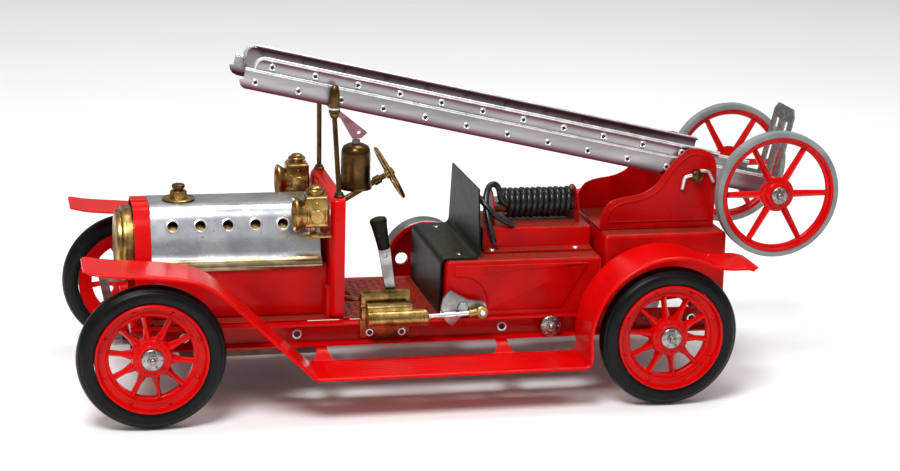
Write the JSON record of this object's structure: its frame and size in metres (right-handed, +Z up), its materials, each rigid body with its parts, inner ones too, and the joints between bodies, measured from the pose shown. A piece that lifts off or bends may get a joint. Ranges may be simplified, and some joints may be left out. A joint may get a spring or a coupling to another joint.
{
  "type": "toy fire engine",
  "caption": "Toy steam fire engine with spoked wheels, long running boards, brass boiler and bell, and a wheeled escape ladder that rises and extends.",
  "frame": {"origin": "ground level under the middle of the whole object's length and width", "axes": "+X towards the rear (escape wheels), +Y towards the vehicle's right side, +Z up"},
  "size_m": [0.4175, 0.1648, 0.1829],
  "materials": {
    "red_enamel": "glossy signal red enamel",
    "brass": "satin turned brass",
    "nickel": "nickel plate",
    "aluminium": "plain folded sheet",
    "black_enamel": "satin black enamel",
    "black_rubber": "satin",
    "grey_tyre": "grey rubber",
    "steel": "plain bright steel",
    "dark_steel": "heat darkened steel"
  },
  "bodies": {
    "vehicle": {"ash_shield": "dark_steel", "bell_bracket": "nickel", "body_box": "red_enamel", "boiler": "brass", "bonnet_cover": "nickel", "bulkhead": "red_enamel", "chassis_frame": "red_enamel", "engine_block": "brass", "firebox": "red_enamel", "floor_plate": "red_enamel", "front_axle": "red_enamel", "front_band": "red_enamel", "front_belt": "steel", "hose_bar": "nickel", "hose_coil": "black_rubber", "hose_tail": "black_rubber", "hose_tray": "red_enamel", "ladder_gantry": "brass", "ladder_saddle": "red_enamel", "left_lamp": "brass", "left_wing_board": "red_enamel", "rear_belt": "steel", "rear_box": "red_enamel", "right_lamp": "brass", "right_wing_board": "red_enamel", "safety_valve": "brass", "seat": "black_enamel", "steam_pipe": "brass", "steering_column": "brass"},
    "burner": {"burner_tray": "nickel"},
    "valve": {"valve_stem": "brass"},
    "bell": {"bell": "brass"},
    "clapper": {"bell_clapper": "steel"},
    "left_stub_axle": {"left_knuckle": "steel"},
    "right_stub_axle": {"right_knuckle": "steel"},
    "steering_wheel": {"steering_wheel": "brass"},
    "track_rod": {"track_rod": "steel"},
    "left_front_wheel": {"left_front_wheel": "red_enamel", "left_front_tyre": "black_rubber"},
    "right_front_wheel": {"right_front_wheel": "red_enamel", "right_front_tyre": "black_rubber"},
    "rear_axle": {"rear_axle": "steel", "left_rear_wheel": "red_enamel", "left_rear_tyre": "black_rubber", "right_rear_wheel": "red_enamel", "right_rear_tyre": "black_rubber"},
    "layshaft": {"layshaft": "nickel"},
    "crankshaft": {"crankshaft": "steel", "flywheel": "red_enamel"},
    "cylinder": {"cylinder": "brass"},
    "piston": {"piston_rod": "steel"},
    "reversing_lever": {"reversing_lever": "steel"},
    "ladder": {"ladder_lower": "aluminium", "ladder_axle": "nickel", "foot_plate": "steel"},
    "ladder_extension": {"ladder_upper": "aluminium"},
    "left_ladder_wheel": {"left_ladder_wheel": "red_enamel", "left_ladder_tyre": "grey_tyre"},
    "right_ladder_wheel": {"right_ladder_wheel": "red_enamel", "right_ladder_tyre": "grey_tyre"}
  },
  "joints": [
    {"name": "burner_slide", "type": "slide", "parent": "vehicle", "child": "burner", "axis": [-1, 0, 0], "range_m": [0, 0.075]},
    {"name": "valve_lift", "type": "slide", "parent": "vehicle", "child": "valve", "axis": [0, 0, 1], "range_m": [0, 0.0015], "stiffness_N_per_m": 200},
    {"name": "bell_swing", "type": "hinge", "parent": "vehicle", "child": "bell", "pos_m": [-0.05395, 0, 0.1324], "axis": [1, 0, 0], "range_deg": [-20, 20]},
    {"name": "clapper_swing", "type": "hinge", "parent": "bell", "child": "clapper", "pos_m": [-0.05395, 0, 0.1272], "axis": [1, 0, 0], "range_deg": [-10, 10]},
    {"name": "left_steer", "type": "hinge", "parent": "vehicle", "child": "left_stub_axle", "pos_m": [-0.17075, -0.0585, 0.0381], "axis": [0, 0, 1], "range_deg": [-20, 20]},
    {"name": "right_steer", "type": "hinge", "parent": "vehicle", "child": "right_stub_axle", "pos_m": [-0.17075, 0.0585, 0.0381], "axis": [0, 0, 1], "range_deg": [-20, 20]},
    {"name": "steering_wheel_turn", "type": "hinge", "parent": "vehicle", "child": "steering_wheel", "pos_m": [-0.03575, 0.02, 0.1064], "axis": [0.866, 0, 0.5], "range_deg": [-80, 80]},
    {"name": "track_rod_pivot", "type": "hinge", "parent": "left_stub_axle", "child": "track_rod", "pos_m": [-0.18675, -0.0585, 0.0435], "axis": [0, 0, 1], "range_deg": [-20, 20]},
    {"name": "left_front_wheel_spin", "type": "hinge", "parent": "left_stub_axle", "child": "left_front_wheel", "pos_m": [-0.17075, -0.0729, 0.0381], "axis": [0, 1, 0], "continuous": true},
    {"name": "right_front_wheel_spin", "type": "hinge", "parent": "right_stub_axle", "child": "right_front_wheel", "pos_m": [-0.17075, 0.0729, 0.0381], "axis": [0, 1, 0], "continuous": true},
    {"name": "rear_axle_spin", "type": "hinge", "parent": "vehicle", "child": "rear_axle", "pos_m": [0.10395, 0, 0.0381], "axis": [0, 1, 0], "continuous": true},
    {"name": "layshaft_spin", "type": "hinge", "parent": "vehicle", "child": "layshaft", "pos_m": [0.04655, 0, 0.037], "axis": [0, 1, 0], "continuous": true},
    {"name": "crankshaft_spin", "type": "hinge", "parent": "vehicle", "child": "crankshaft", "pos_m": [-0.00325, 0, 0.05], "axis": [0, 1, 0], "continuous": true},
    {"name": "cylinder_rock", "type": "hinge", "parent": "vehicle", "child": "cylinder", "pos_m": [-0.04475, -0.049, 0.047], "axis": [0, 1, 0], "range_deg": [-8, 8]},
    {"name": "piston_stroke", "type": "slide", "parent": "cylinder", "child": "piston", "axis": [-1, 0, 0], "range_m": [0, 0.0195]},
    {"name": "reversing_lever_turn", "type": "hinge", "parent": "vehicle", "child": "reversing_lever", "pos_m": [-0.03925, -0.0342, 0.0536], "axis": [0, 1, 0], "range_deg": [-15, 20]},
    {"name": "ladder_raise", "type": "hinge", "parent": "vehicle", "child": "ladder", "pos_m": [0.13225, 0, 0.1137], "axis": [0, 1, 0], "range_deg": [0, 35]},
    {"name": "ladder_extend", "type": "slide", "parent": "ladder", "child": "ladder_extension", "axis": [-0.9763, 0, 0.2163], "range_m": [0, 0.12]},
    {"name": "left_ladder_wheel_spin", "type": "hinge", "parent": "ladder", "child": "left_ladder_wheel", "pos_m": [0.17375, -0.0395, 0.10594], "axis": [0, 1, 0], "continuous": true},
    {"name": "right_ladder_wheel_spin", "type": "hinge", "parent": "ladder", "child": "right_ladder_wheel", "pos_m": [0.17375, 0.0395, 0.10594], "axis": [0, 1, 0], "continuous": true}
  ],
  "couplings": [
    {"joint": "right_steer", "follows": "left_steer", "ratio": 1},
    {"joint": "steering_wheel_turn", "follows": "left_steer", "ratio": 4},
    {"joint": "track_rod_pivot", "follows": "left_steer", "ratio": -1},
    {"joint": "layshaft_spin", "follows": "rear_axle_spin", "ratio": 2.8},
    {"joint": "crankshaft_spin", "follows": "rear_axle_spin", "ratio": 6.72}
  ]
}
